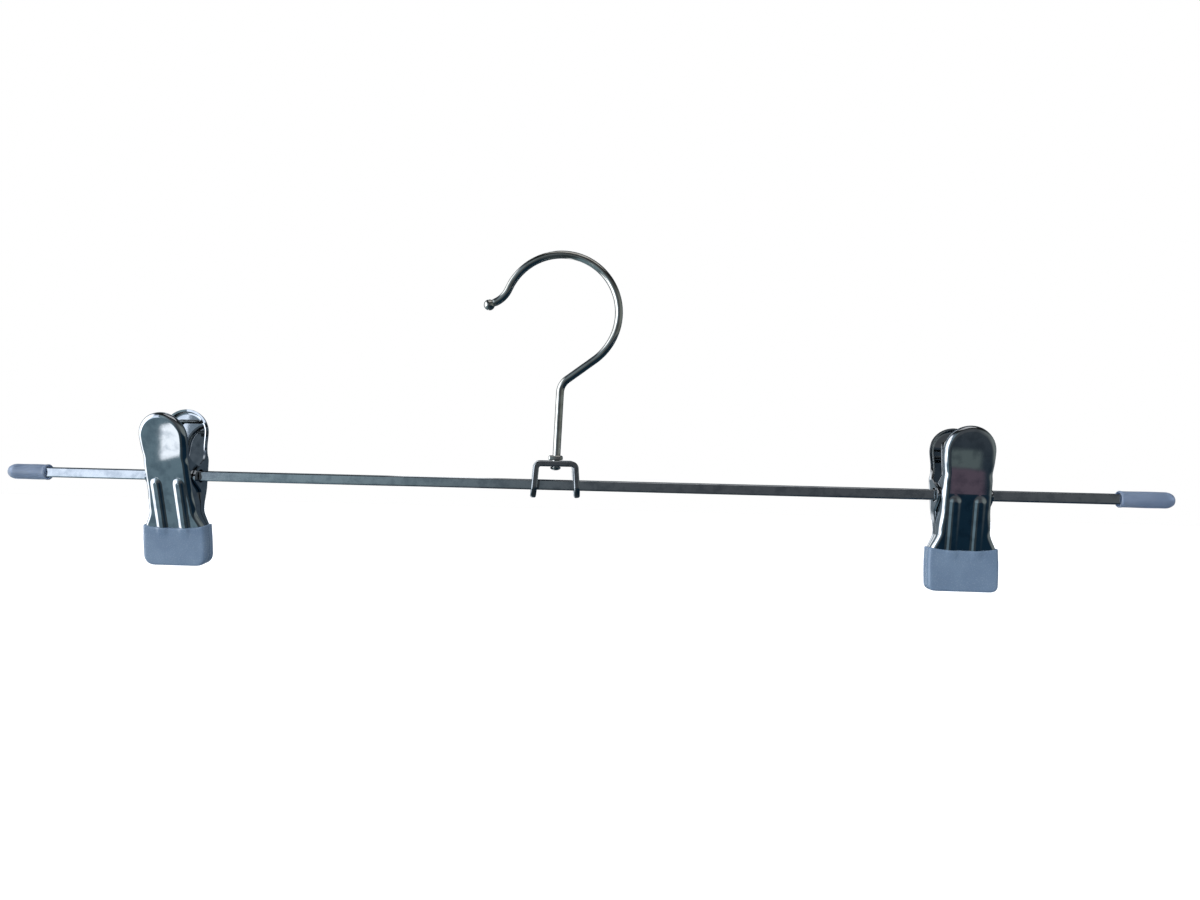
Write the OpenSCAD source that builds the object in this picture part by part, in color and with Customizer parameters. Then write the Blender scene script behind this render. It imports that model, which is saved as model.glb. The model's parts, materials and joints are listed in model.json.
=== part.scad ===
// Metal clip hanger: a wire hook turns in a small bracket that carries a square bar,
// and two sprung clips slide along the bar, swing about it and pinch a waistband.
// Origin: where the hook sits on a rail, at the top of the inside of its loop.
// X runs along the bar, -Y is the front and +Z is up.

/* [Bar] */
// Length of the hanger from cap tip to cap tip
hanger_l = 400; // [360:1:440]
// How far the bar's middle sits to the right of the hook
bar_shift = 3.8; // [0:0.1:6]
// Height from the bar's axis up to the rail
drop = 77.5; // [72:0.5:90]
// Side of the square bar
bar_side = 3.5; // [3.2:0.1:3.6]
// Radius of the bar's rounded corners
bar_corner = 0.5; // [0.3:0.1:0.8]

/* [End caps] */
// Outer diameter of a cap
cap_d = 5.4; // [5.2:0.1:6]
// Length of the left cap
cap_left_l = 14.6; // [10:0.1:20]
// Length of the right cap
cap_right_l = 17.6; // [10:0.1:20]
// Length of the tapered end of a cap
cap_nose = 3; // [2:0.1:4]

/* [Hook] */
// Diameter of the hook's wire
wire_d = 2.7; // [2.5:0.1:3]
// Inside radius of the loop
loop_r = 18.5; // [17:0.1:20]
// Angle on the loop where the open arm begins
arm_angle = 156.5; // [150:0.5:165]
// Angle on the loop where the wire runs straight down to the neck
neck_angle = -53.5; // [-60:0.5:-48]
// Radius of the reverse curve in the arm
arm_r = 9; // [7:0.5:12]
// How far the arm turns outward
arm_sweep = 42; // [30:1:50]
// Diameter of the ball on the arm's tip
ball_d = 3.8; // [3:0.1:4.5]
// Inside bend of the neck, measured on the wire's axis
neck_r = 6; // [4:0.5:8]
// Lean of the upright wire away from vertical, in degrees
shaft_lean = 2; // [0:0.1:4]
// Width of the pressed shoulder that stops the wire above the bracket
shoulder_w = 4.8; // [4:0.1:6]
// Diameter of the riveted end below the bracket
rivet_d = 3.6; // [3.2:0.1:4]

/* [Bracket] */
// Thickness of the bracket's strip
strip_t = 1.9; // [1.4:0.1:2.2]
// Width of the bracket's strip, front to back
strip_w = 8; // [7:0.1:9]
// Width across the outside of the bracket at its top
bracket_w = 15.4; // [14:0.1:18]
// Height of the bracket's top face above the bar's axis
bracket_top = 8.3; // [7.5:0.1:9]
// Depth of the legs' tips below the bar's axis
bracket_tip = 4.4; // [4:0.1:6]
// Outward splay of each leg, in degrees
leg_splay = 4.5; // [0:0.5:6]
// Turn of the bracket about the hook, in degrees
bracket_turn = 10; // [-12:1:12]

/* [Clips] */
// Place of the left clip along the bar
clip_left_x = -135.1; // [-160:0.1:-40]
// Place of the right clip along the bar
clip_right_x = 135.6; // [40:0.1:160]
// Tilt of the left clip about the bar, in degrees
clip_left_tilt = 5.1; // [-10:0.1:10]
// Tilt of the right clip about the bar, in degrees
clip_right_tilt = -2.5; // [-10:0.1:10]
// Thickness of a jaw's sheet metal
sheet_t = 0.8; // [0.6:0.1:1]
// Radius of the round finger pad
pad_r = 8.4; // [7:0.1:9]
// Height of the pad's centre above the bar's axis
pad_z = 14.4; // [13:0.1:16]
// Outward slope of the pad, in degrees
pad_slope = 9.9; // [8:0.1:12]
// Half of the depth of the closed clip at the bar
waist_depth = 6.35; // [5:0.05:7]
// Half of a jaw's width where it flares into its boot
flare_w = 11.1; // [9:0.1:12]

/* [Boots] */
// Half of a boot's width
boot_half_w = 11.5; // [10:0.1:13]
// Height of a boot's top edge, below the bar's axis
boot_top = 18.3; // [17:0.1:20]
// Height of a boot's bottom edge, below the bar's axis
boot_bottom = 31.8; // [30:0.1:34]
// Thickness of one boot, front to back
boot_t = 3.1; // [2.8:0.1:4]

/* [Spring] */
// Diameter of the spring's wire
spring_wire = 1.2; // [1:0.1:1.2]
// Number of turns in the coil between the two legs
coil_turns = 4; // [3:1:5]

/* [Hidden] */

CHROME = "silver";
SOFT_BLUE = "lightslategray";

// How far a cutter runs past what it cuts, and a length greater than any side of a clip
over = 1;
reach = 50;

// Bar and caps
bar_z = -drop;
cap_wall_end = 2.5;
cap_clearance = 0.02;
cap_lip_in = 0.3;
cap_lip_l = 0.4;
left_tip_x = bar_shift - hanger_l / 2;
right_tip_x = bar_shift + hanger_l / 2;

// Hook: the wire's axis lies in the XZ plane
wire_r = wire_d / 2;
axis_r = loop_r + wire_r;
pin_x = -0.8;
shoulder_h = 1.6;
shoulder_gap = 0.2;
shoulder_z = bar_z + bracket_top + shoulder_gap;
shaft_offset = 0.3;
rivet_h = 1.2;
pin_clearance = 0.05;
arm_straight = 2.3;
shaft_foot = [pin_x + shaft_offset, shoulder_z + shoulder_h];
shaft_dir = [sin(shaft_lean), cos(shaft_lean)];
loop_centre = [0, -loop_r];
neck_start = loop_centre + axis_r * [cos(neck_angle), sin(neck_angle)];
neck_dir = [sin(neck_angle), -cos(neck_angle)];
// The straight stretch and the upright wire meet at this corner, which the neck bend rounds
neck_corner = line_meet(neck_start, neck_dir, shaft_foot, shaft_dir);
neck_turn = 90 - shaft_lean - (neck_angle + 90);
neck_setback = neck_r * tan(neck_turn / 2);
neck_end = neck_corner - neck_setback * shaft_dir;

// Bracket
bracket_corner = 2.5;

// Clips: outlines are in the jaw's own frame, with the bar's axis as origin and +Y outward
waist_half_w = 8.1;
body_half_w = 8.5;
waist_z = 7.5;
waist_start = 4.5;
flare_start = -12;
flare_end = -19.5;
rim_depth = 2.2;
edge_gap = 0.15;
edge_fan = 14.5;
fan_z = 2.5;
pad_edge_z = 9;
knee_z = -18;
knee_depth = 2.9;
tongue_z = -30.8;
tongue_depth = 2.4;
tongue_corner = 1.5;
ear_r = 4.4;
ear_step = 1;
ear_flat = 4.5;
ear_end = 11;
pivot_clearance = 0.08;
bar_diagonal = bar_side * sqrt(2) - 2 * bar_corner * (sqrt(2) - 1);
pivot_r = bar_diagonal / 2 + pivot_clearance;
pad_top = pad_z + pad_r;
side_steps = [12, 9, 7.5, 6, 4.5, 3, 0, -4.5, -6, -7.5, -9.5, -12, -14, -16, -18, -19.5];
rib_x = 4;
rib_r = 4;
rib_rise = 0.5;
rib_top = -0.6;
rib_drop = 2;
// Below this height a jaw is a flat tongue
hollow_end = knee_z - 0.3;
leg_slope = atan((waist_depth - knee_depth) / -knee_z);

// Boots
boot_gap = 0.1;
boot_corner = 2.2;

// Spring
coil_pitch = spring_wire * 0.96;
coil_clearance = 0.28;
coil_r = bar_diagonal / 2 + coil_clearance + spring_wire / 2;
coil_end = coil_turns * coil_pitch / 2;
ring_gap = 0.15;
ring_x = coil_end + spring_wire / 2 + ring_gap;
turn_start = 40;
foot_z = 19.3;
foot_reach = 4.5;
foot_bend = 1.6;
// The legs stand a little wider than the pads, so that their feet press outward
leg_lean = pad_slope + 3;

function line_meet(p, u, q, v) =
    let (w = q - p, det = u[1] * v[0] - u[0] * v[1])
    p + u * (w[1] * v[0] - w[0] * v[1]) / det;

function smooth(a, b, v) =
    let (s = max(0, min(1, (v - a) / (b - a))))
    s * s * (3 - 2 * s);

// Half of a jaw's width at height z, below the round pad
function half_width(z, ears) =
    waist_half_w
    + (pad_r - waist_half_w) * smooth(waist_z, pad_z, z)
    + (body_half_w - waist_half_w) * smooth(-waist_z, -waist_start, -z)
    + (flare_w - body_half_w) * smooth(-flare_start, -flare_end, -z)
    + (ears ? 0.5 : -0.5) * ear_step * (1 - smooth(ear_flat, ear_end, abs(z)));

// Depth of a jaw's outer face at height z above the bar's axis
function face_depth(z) = waist_depth + z * tan(pad_slope);

// Right half of a jaw's outline, from the pad's top down to the middle of its tongue
function outline_side(inset, ears) = concat(
    [for (a = [80:-10:10]) [(pad_r - inset) * cos(a), pad_z + (pad_r - inset) * sin(a)]],
    [[pad_r - inset, pad_z]],
    [for (z = side_steps) [half_width(z, ears) - inset, z]],
    [[flare_w - inset, tongue_z + tongue_corner], [flare_w - inset - tongue_corner, tongue_z]]
);

function mirrored(points) = [for (i = [len(points) - 1:-1:0]) [-points[i][0], points[i][1]]];

module at_left() translate([clip_left_x, 0, bar_z]) rotate([clip_left_tilt, 0, 0]) children();

module at_right() translate([clip_right_x, 0, bar_z]) rotate([clip_right_tilt, 0, 0]) children();

// Points on an arc in a plane, from angle a0 to a1
function arc(c, r, a0, a1, steps) =
    [for (i = [0:steps]) let (a = a0 + (a1 - a0) * i / steps) c + r * [cos(a), sin(a)]];

function last(list) = list[len(list) - 1];

function unit(v) = v / norm(v);

function tangent(path, i) = unit(path[min(i + 1, len(path) - 1)] - path[max(i - 1, 0)]);

// The part of v that is square to the unit vector t
function square_to(v, t) = unit(v - (v * t) * t);

// A round wire along a path in space. The normal is any direction not along the wire's start.
module wire(path, r, sides, normal) {
    normals = [
        for (i = 0, n = square_to(normal, tangent(path, 0)); i < len(path);
             i = i + 1, n = square_to(n, tangent(path, min(i, len(path) - 1)))) n
    ];
    points = [
        for (i = [0:len(path) - 1], k = [0:sides - 1])
            let (a = 360 * k / sides)
            path[i] + r * (cos(a) * normals[i] + sin(a) * cross(tangent(path, i), normals[i]))
    ];
    walls = [
        for (i = [0:len(path) - 2], k = [0:sides - 1])
            let (p = i * sides + k, q = i * sides + (k + 1) % sides)
            each [[p, p + sides, q], [q, p + sides, q + sides]]
    ];
    ends = [
        [for (k = [0:sides - 1]) k],
        [for (k = [sides - 1:-1:0]) (len(path) - 1) * sides + k]
    ];
    polyhedron(points, concat(walls, ends), convexity = 6);
}

module rounded_square(side, corner) {
    square([side - 2 * corner, side], center = true);
    square([side, side - 2 * corner], center = true);
    for (x = [-1, 1], y = [-1, 1])
        translate([x, y] * (side / 2 - corner)) circle(r = corner, $fn = 32);
}

module bar_prism(x0, x1, grow = 0)
    translate([x0, 0, bar_z]) rotate([90, 0, 90])
        linear_extrude(x1 - x0) rounded_square(bar_side + 2 * grow, bar_corner + grow);

module hook() color(CHROME) {
    arm_out = [cos(arm_angle), sin(arm_angle)];
    arm_centre = loop_centre + (axis_r + arm_r) * arm_out;
    arm_end_angle = arm_angle + 180 - arm_sweep;
    arm_end = arm_centre + arm_r * [cos(arm_end_angle), sin(arm_end_angle)];
    ball_centre = arm_end + arm_straight * [sin(arm_end_angle), -cos(arm_end_angle)];
    neck_centre = neck_end + neck_r * [shaft_dir[1], -shaft_dir[0]];
    neck_left = 180 - shaft_lean;
    route = concat(
        [ball_centre],
        arc(arm_centre, arm_r, arm_end_angle, arm_angle + 180, 8),
        arc(loop_centre, axis_r, arm_angle, neck_angle, 48),
        arc(neck_centre, neck_r, neck_left - neck_turn, neck_left, 8),
        [shaft_foot - shoulder_h / 2 * shaft_dir]
    );
    wire([for (p = route) [p[0], 0, p[1]]], wire_r, 16, [0, 1, 0]);
    translate([ball_centre[0], 0, ball_centre[1]]) sphere(d = ball_d, $fn = 48);
    // Pressed shoulder, pin and riveted end, all on the swivel's vertical axis
    translate([pin_x, 0, shoulder_z]) cylinder(d = shoulder_w, h = shoulder_h, $fn = 8);
    translate([pin_x, 0, shoulder_z - strip_t - rivet_h - 2 * shoulder_gap]) {
        cylinder(r = wire_r, h = strip_t + rivet_h + 2 * shoulder_gap + shoulder_h / 2, $fn = 48);
        cylinder(d = rivet_d, h = rivet_h, $fn = 48);
    }
}

// Half of the bracket's bent strip, as an outline in the XZ plane
module strip_half() {
    corner_x = bracket_w / 2 - bracket_corner;
    leg_l = bracket_top + bracket_tip + over;
    difference() {
        union() {
            translate([0, -bracket_corner]) square([corner_x, bracket_corner]);
            translate([corner_x, -bracket_corner]) {
                circle(r = bracket_corner, $fn = 64);
                rotate(leg_splay) translate([0, -leg_l]) square([bracket_corner, leg_l]);
            }
        }
        translate([-over, -bracket_corner - leg_l])
            square([corner_x + over, bracket_corner + leg_l - strip_t]);
        translate([corner_x, -bracket_corner]) {
            circle(r = bracket_corner - strip_t, $fn = 64);
            rotate(leg_splay) translate([-bracket_corner, -leg_l - over])
                square([2 * bracket_corner - strip_t, leg_l + over]);
        }
    }
}

module bracket() color(CHROME) difference() {
    translate([pin_x, 0, bar_z + bracket_top]) rotate([0, 0, bracket_turn]) intersection() {
        rotate([90, 0, 0]) linear_extrude(strip_w, center = true) {
            strip_half();
            mirror([1, 0]) strip_half();
        }
        rotate([90, 0, 90]) linear_extrude(2 * bracket_w, center = true) {
            translate([-strip_w / 2, -bracket_top - bracket_tip + strip_w / 2])
                square([strip_w, bracket_top + bracket_tip]);
            translate([0, -bracket_top - bracket_tip + strip_w / 2]) circle(d = strip_w, $fn = 64);
        }
    }
    bar_prism(pin_x - bracket_w, pin_x + bracket_w, cap_clearance);
    translate([pin_x, 0, bar_z]) cylinder(r = wire_r + pin_clearance, h = bracket_top + over, $fn = 48);
}

module bar() color(CHROME) bar_prism(left_tip_x + cap_wall_end, right_tip_x - cap_wall_end);

// A cap drawn with its tip at the origin and its mouth towards +X
module cap_shape(l) {
    tip_r = cap_d * 0.2;
    rotate([90, 0, 90]) rotate_extrude($fn = 64)
        polygon(concat(
            [[0, 0], [tip_r, 0]],
            [for (a = [15:15:90]) [tip_r + (cap_d / 2 - tip_r) * sin(a), cap_nose * (1 - cos(a))]],
            [[cap_d / 2, l - cap_lip_l], [cap_d / 2 - cap_lip_in, l], [0, l]]
        ));
}

module end_cap_left() color(SOFT_BLUE) difference() {
    translate([left_tip_x, 0, bar_z]) cap_shape(cap_left_l);
    bar_prism(left_tip_x + cap_wall_end, 0, cap_clearance);
}

module end_cap_right() color(SOFT_BLUE) difference() {
    translate([right_tip_x, 0, bar_z]) mirror([1, 0, 0]) cap_shape(cap_right_l);
    bar_prism(0, right_tip_x - cap_wall_end, cap_clearance);
}

// A prism along Y with the jaw's outline, inset evenly from its edge
module jaw_outline(inset, ears) {
    side = outline_side(inset, ears);
    top = [[0, pad_top - inset]];
    rotate([90, 0, 0]) linear_extrude(reach, center = true)
        polygon(concat(top, side, mirrored(side)));
}

// A prism along X between the turned edges and a face that lies inset below the outer one
module jaw_section(inset, edge_y) rotate([90, 0, 90]) linear_extrude(reach, center = true)
    polygon([
        [face_depth(pad_top + over) - inset, pad_top + over],
        [waist_depth - inset, 0],
        [knee_depth - inset, knee_z],
        [tongue_depth - inset, tongue_z - over],
        [edge_y, tongue_z - over],
        [edge_y, 0],
        [edge_y + fan_z * tan(edge_fan), fan_z],
        [edge_y + face_depth(pad_edge_z) - rim_depth, pad_edge_z],
        [edge_y + face_depth(pad_top + over) - rim_depth, pad_top + over]
    ]);

module jaw_rib(x) intersection() {
    translate([x, waist_depth + rib_top * tan(leg_slope), rib_top]) rotate([-leg_slope, 0, 0])
        translate([0, rib_rise - rib_r, -reach]) cylinder(r = rib_r, h = reach, $fn = 96);
    translate([x - rib_r, 0, knee_z - rib_drop]) rotate([-leg_slope, 0, 0])
        translate([0, knee_depth - sheet_t / 2, 0]) cube([2 * rib_r, rib_r, reach]);
}

// A jaw with its face towards +Y. The back jaw's ears stand just outside the front jaw's.
module jaw(ears) {
    ear_x = half_width(0, ears);
    difference() {
        union() {
            intersection() {
                jaw_outline(0, ears);
                jaw_section(0, edge_gap);
            }
            for (x = [-ear_x, ear_x - sheet_t])
                translate([x, 0, 0]) rotate([0, 90, 0]) cylinder(r = ear_r, h = sheet_t, $fn = 64);
            for (x = [-rib_x, rib_x]) jaw_rib(x);
        }
        intersection() {
            jaw_outline(sheet_t, ears);
            jaw_section(sheet_t, -ear_r);
            translate([-reach / 2, -reach / 2, hollow_end]) cube(reach);
        }
        translate([-reach / 2, -reach / 2, hollow_end - reach])
            cube([reach, reach / 2 + tongue_depth - sheet_t, reach]);
        rotate([0, 90, 0]) cylinder(r = pivot_r, h = reach, center = true, $fn = 64);
    }
}

module front_jaw() color(CHROME) mirror([0, 1, 0]) jaw(false);

module back_jaw() color(CHROME) jaw(true);

// A dipped boot over the tongue of a jaw whose face is towards +Y
module boot(ears) color(SOFT_BLUE) difference() {
    translate([0, boot_gap, 0]) rotate([-90, 0, 0]) linear_extrude(boot_t - boot_gap) mirror([0, 1]) {
        translate([-boot_half_w, -boot_bottom + boot_corner])
            square([2 * boot_half_w, boot_bottom - boot_top - boot_corner]);
        translate([-boot_half_w + boot_corner, -boot_bottom])
            square([2 * (boot_half_w - boot_corner), boot_corner]);
        for (x = [-1, 1])
            translate([x * (boot_half_w - boot_corner), -boot_bottom + boot_corner])
                circle(r = boot_corner, $fn = 48);
    }
    jaw(ears);
}

module front_boot() mirror([0, 1, 0]) boot(false);

module back_boot() boot(true);

module spring_coil() color(CHROME) rotate([0, 90, 0]) rotate_extrude($fn = 64)
    for (i = [0:coil_turns - 1])
        translate([coil_r, (i - (coil_turns - 1) / 2) * coil_pitch]) circle(d = spring_wire, $fn = 24);

// The last turn of the coil with its leg and foot, for a jaw whose face is towards +Y
module spring_leg() color(CHROME) {
    leg_up = [sin(leg_lean), cos(leg_lean)];
    bend_centre = foot_z / cos(leg_lean) - foot_bend;
    turn = arc([0, 0], coil_r, turn_start - leg_lean, 360 - leg_lean, 26);
    leg_foot = last(turn);
    leg_at = arc([foot_bend - ring_x, bend_centre], foot_bend, 180, 90, 5);
    route = concat(
        [for (p = turn) [-ring_x, p[0], p[1]]],
        [for (p = leg_at) [p[0], leg_foot[0] + p[1] * leg_up[0], leg_foot[1] + p[1] * leg_up[1]]],
        [[foot_reach, leg_foot[0] + (bend_centre + foot_bend) * leg_up[0],
          leg_foot[1] + (bend_centre + foot_bend) * leg_up[1]]]
    );
    wire(route, spring_wire / 2, 10, [1, 0, 0]);
}

module spring_front_leg() rotate([0, 0, 180]) spring_leg();

module spring_back_leg() spring_leg();

hook();
bracket();
bar();
end_cap_left();
end_cap_right();
at_left() front_jaw();  // left_front_jaw
at_left() back_jaw();  // left_back_jaw
at_left() front_boot();  // left_front_boot
at_left() back_boot();  // left_back_boot
at_left() spring_coil();  // left_spring_coil
at_left() spring_front_leg();  // left_spring_front_leg
at_left() spring_back_leg();  // left_spring_back_leg
at_right() front_jaw();  // right_front_jaw
at_right() back_jaw();  // right_back_jaw
at_right() front_boot();  // right_front_boot
at_right() back_boot();  // right_back_boot
at_right() spring_coil();  // right_spring_coil
at_right() spring_front_leg();  // right_spring_front_leg
at_right() spring_back_leg();  // right_spring_back_leg
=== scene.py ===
"""Looks of a metal clip hanger: chromed hook, bracket and square bar, two sprung clips, vinyl boots and caps.

Lengths in the size dataclasses are millimetres in the CAD's own frame; meshes are made in metres.
"""

import json
import logging
import math
from dataclasses import dataclass, field
from enum import Enum
from typing import Iterable, Sequence

import bmesh
import bpy
import numpy as np
from mathutils import Matrix, Vector


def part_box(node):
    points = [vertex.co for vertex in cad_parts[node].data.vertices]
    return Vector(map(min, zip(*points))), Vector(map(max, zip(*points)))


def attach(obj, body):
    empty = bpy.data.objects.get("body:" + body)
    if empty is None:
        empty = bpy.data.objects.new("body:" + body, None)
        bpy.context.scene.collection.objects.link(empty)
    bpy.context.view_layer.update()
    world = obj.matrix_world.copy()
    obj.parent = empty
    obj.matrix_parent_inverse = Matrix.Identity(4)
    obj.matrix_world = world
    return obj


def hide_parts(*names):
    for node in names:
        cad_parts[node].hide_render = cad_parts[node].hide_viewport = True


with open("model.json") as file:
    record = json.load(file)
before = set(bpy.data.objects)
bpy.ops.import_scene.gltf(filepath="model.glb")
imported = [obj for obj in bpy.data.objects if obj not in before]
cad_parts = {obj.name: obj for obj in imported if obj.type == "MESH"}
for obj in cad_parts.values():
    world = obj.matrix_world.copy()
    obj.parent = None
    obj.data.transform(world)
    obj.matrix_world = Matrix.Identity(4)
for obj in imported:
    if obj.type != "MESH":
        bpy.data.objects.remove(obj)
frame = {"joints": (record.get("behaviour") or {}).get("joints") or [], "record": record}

log = logging.getLogger("hanger")

MM = 0.001
UM = 0.000001

Point = tuple[float, float, float]
Flat = tuple[float, float]
Face = tuple[int, ...]

# Radius of the tiny ring that closes a turned solid on its axis
AXIS_R = 0.02


class Side(Enum):
    """Which of the two clips, by its place along the bar."""

    LEFT = "left"
    RIGHT = "right"


class Half(Enum):
    """Which half of a clip. The value is the sign of the way its face looks along Y."""

    FRONT = -1
    BACK = 1

    @property
    def word(self) -> str:
        """The half's name inside piece and node names."""
        return self.name.lower()


# ---------------------------------------------------------------------------
# Colour and shader helpers
# ---------------------------------------------------------------------------


def linear(hex_colour: str, gain: float = 1.0) -> tuple[float, float, float, float]:
    """Turns an sRGB hex colour into linear light.

    Args:
        hex_colour: six hex digits after a hash sign.
        gain: a factor on the linear values.

    Returns:
        Red, green, blue and an alpha of 1.
    """
    parts = [int(hex_colour[i : i + 2], 16) / 255 for i in (1, 3, 5)]
    light = [p / 12.92 if p <= 0.04045 else ((p + 0.055) / 1.055) ** 2.4 for p in parts]
    return (light[0] * gain, light[1] * gain, light[2] * gain, 1.0)


# Settings shared by many nodes
SMOOTH = {"interpolation_type": "SMOOTHSTEP"}
COLOURS = {"data_type": "RGBA"}


@dataclass
class Graph:
    """A shader tree with one way of adding a node."""

    tree: bpy.types.NodeTree

    def add(
        self, kind: str, inputs: dict | None = None, out: int | str = 0, **settings: object
    ) -> object:
        """Adds a node, sets its properties and fills or links its inputs.

        Args:
            kind: Blender's type name of the node.
            inputs: values or output sockets, keyed by the input's name or index.
            out: which output is wanted.
            **settings: properties of the node itself.

        Returns:
            The wanted output's socket, or None for a node without outputs.
        """
        node = self.tree.nodes.new(kind)
        for key, value in settings.items():
            setattr(node, key, value)
        for key, value in (inputs or {}).items():
            if isinstance(value, bpy.types.NodeSocket):
                self.tree.links.new(value, node.inputs[key])
            else:
                node.inputs[key].default_value = value
        return node.outputs[out] if node.outputs else None

    def speckle(self, size_mm: float, stretch: Sequence[float] = (1, 1, 1), detail: float = 2.0) -> object:
        """Noise whose features are about size_mm across, stretched along the object's axes.

        Args:
            size_mm: distance between features, in millimetres.
            stretch: how many times longer the features are along X, Y and Z.
            detail: octaves of finer noise.

        Returns:
            The noise value's socket.
        """
        where = self.add("ShaderNodeTexCoord", out="Object")
        scaled = self.add("ShaderNodeMapping", {0: where, 3: [1 / s for s in stretch]})
        inputs = {"Vector": scaled, "Scale": 1 / (size_mm * MM), "Detail": detail}
        return self.add("ShaderNodeTexNoise", inputs)


def new_material(name: str) -> tuple[bpy.types.Material, Graph]:
    """Makes an empty node material and returns it with its graph."""
    material = bpy.data.materials.new(name)
    material.use_nodes = True
    material.node_tree.nodes.clear()
    return material, Graph(material.node_tree)


# ---------------------------------------------------------------------------
# Finishes
# ---------------------------------------------------------------------------


@dataclass(frozen=True)
class ChromePlate:
    """Bright chrome over steel. The steel below shows as slow waves, drawing lines and faint haze."""

    name: str
    colour: str = "#C4C7CB"
    dull: str = "#A9AEB4"
    roughness: float = 0.05
    haze_mm: float = 3.2
    rough_haze: float = 0.1
    rough_line: float = 0.05
    wave_mm: float = 5.0
    wave_um: float = 6.0
    line_mm: float = 0.12
    line_um: float = 0.25
    line_stretch: tuple[float, float, float] = (1, 1, 30)

    def material(self) -> bpy.types.Material:
        """Builds the shader and returns it."""
        material, g = new_material(self.name)
        haze = g.speckle(self.haze_mm, detail=4.0)
        lines = g.speckle(self.line_mm, self.line_stretch, 3.0)
        # Haze: thin plating and handling leave patches a little duller and greyer
        dull = g.add("ShaderNodeMapRange", {0: haze, 1: 0.42, 2: 0.7}, **SMOOTH)
        tones = {0: dull, 6: linear(self.colour), 7: linear(self.dull)}
        colour = g.add("ShaderNodeMix", tones, 2, **COLOURS)
        # The haze and the lines both scatter the reflection a little
        spread = {0: haze, 1: 0.4, 2: 0.72, 3: self.roughness, 4: self.rough_haze}
        rough = g.add("ShaderNodeMapRange", spread)
        scuff = g.add("ShaderNodeMapRange", {0: lines, 1: 0.35, 2: 0.75, 4: self.rough_line}, **SMOOTH)
        # Waves: the sheet or wire isn't optically flat, so reflections bend and break up
        swells = g.speckle(self.wave_mm, detail=1.0)
        wave = g.add("ShaderNodeBump", {"Height": swells, "Distance": self.wave_um * UM})
        # Drawing lines: left by the die or the rolls, and only just seen in raking light
        fine = g.add("ShaderNodeBump", {"Height": lines, "Distance": self.line_um * UM, "Normal": wave})
        inputs = {
            "Base Color": colour,
            "Metallic": 1.0,
            "Roughness": g.add("ShaderNodeMath", {0: rough, 1: scuff}, operation="ADD"),
            "Normal": fine,
        }
        g.add("ShaderNodeOutputMaterial", {"Surface": g.add("ShaderNodeBsdfPrincipled", inputs)})
        return material


@dataclass(frozen=True)
class SoftVinyl:
    """Plasticised PVC, dipped or moulded, that lets a little light in and has a satin skin."""

    name: str
    colour: str = "#687C92"
    cloud: str = "#72869B"
    dust: str = "#8797AB"
    roughness: float = 0.24
    rough_dust: float = 0.12
    cloud_mm: float = 9.0
    speck_mm: float = 0.35
    clarity: float = 0.0
    depth_mm: float = 0.8
    skin_mm: float = 1.4
    skin_um: float = 14.0

    def material(self) -> bpy.types.Material:
        """Builds the shader and returns it."""
        material, g = new_material(self.name)
        # Clouds: the dip runs thicker and thinner, so the colour drifts slowly over the skin
        drift = g.speckle(self.cloud_mm, detail=3.0)
        cloud = g.add("ShaderNodeMapRange", {0: drift, 1: 0.35, 2: 0.68}, **SMOOTH)
        tones = {0: cloud, 6: linear(self.colour), 7: linear(self.cloud)}
        colour = g.add("ShaderNodeMix", tones, 2, **COLOURS)
        # Bloom and dust: fine specks that scatter light and lift the roughness here and there
        specks = g.speckle(self.speck_mm)
        dust = g.add("ShaderNodeMapRange", {0: specks, 1: 0.64, 2: 0.8, 4: 0.3}, **SMOOTH)
        colour = g.add("ShaderNodeMix", {0: dust, 6: colour, 7: linear(self.dust)}, 2, **COLOURS)
        spread = {0: specks, 1: 0.5, 2: 0.8, 3: self.roughness, 4: self.roughness + self.rough_dust}
        rough = g.add("ShaderNodeMapRange", spread)
        # Skin: a shallow orange peel from the dip and small sags
        skin = g.add("ShaderNodeBump", {"Height": g.speckle(self.skin_mm), "Distance": self.skin_um * UM})
        inputs = {
            "Base Color": colour,
            "Roughness": rough,
            "IOR": 1.53,
            "Transmission Weight": self.clarity,
            "Subsurface Weight": 0.35,
            "Subsurface Radius": (1.0, 1.1, 1.25),
            "Subsurface Scale": self.depth_mm * MM,
            "Normal": skin,
        }
        g.add("ShaderNodeOutputMaterial", {"Surface": g.add("ShaderNodeBsdfPrincipled", inputs)})
        return material


# Drawn wire, plated: long lines around the wire's run and a tight, bright reflection
HOOK_WIRE = ChromePlate(
    "chrome_plated_drawn_wire",
    colour="#C9C8C3",
    dull="#ADABA5",
    roughness=0.03,
    wave_mm=7.0,
    wave_um=6.0,
    line_stretch=(6, 1, 6),
)
# Stamped strip, plated in a barrel: duller, with knocks and a softer reflection
BRACKET_STRIP = ChromePlate(
    "chrome_plated_stamped_strip",
    colour="#A9ADB1",
    dull="#868B90",
    roughness=0.13,
    wave_mm=1.6,
    wave_um=14.0,
    line_stretch=(1, 8, 1),
)
# Cold drawn square bar, plated: lines run along it and its faces are nearly flat
BAR_STEEL = ChromePlate(
    "chrome_plated_drawn_bar", roughness=0.09, wave_mm=14.0, wave_um=7.0, line_stretch=(60, 1, 1)
)
# Pressed sheet, plated bright: clear mirror with soft dents from the press
CLIP_SHEET = ChromePlate(
    "chrome_plated_pressed_sheet",
    roughness=0.015,
    rough_haze=0.03,
    rough_line=0.01,
    wave_mm=5.5,
    wave_um=2.0,
    line_stretch=(1, 1, 25),
)
# Oil tempered spring wire, nickel plated thin: darker and rougher than the sheet
SPRING_WIRE = ChromePlate(
    "nickel_plated_spring_wire",
    colour="#9C9D9C",
    dull="#6F716F",
    roughness=0.16,
    wave_mm=1.5,
    wave_um=5.0,
    line_stretch=(1, 5, 5),
)
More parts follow.
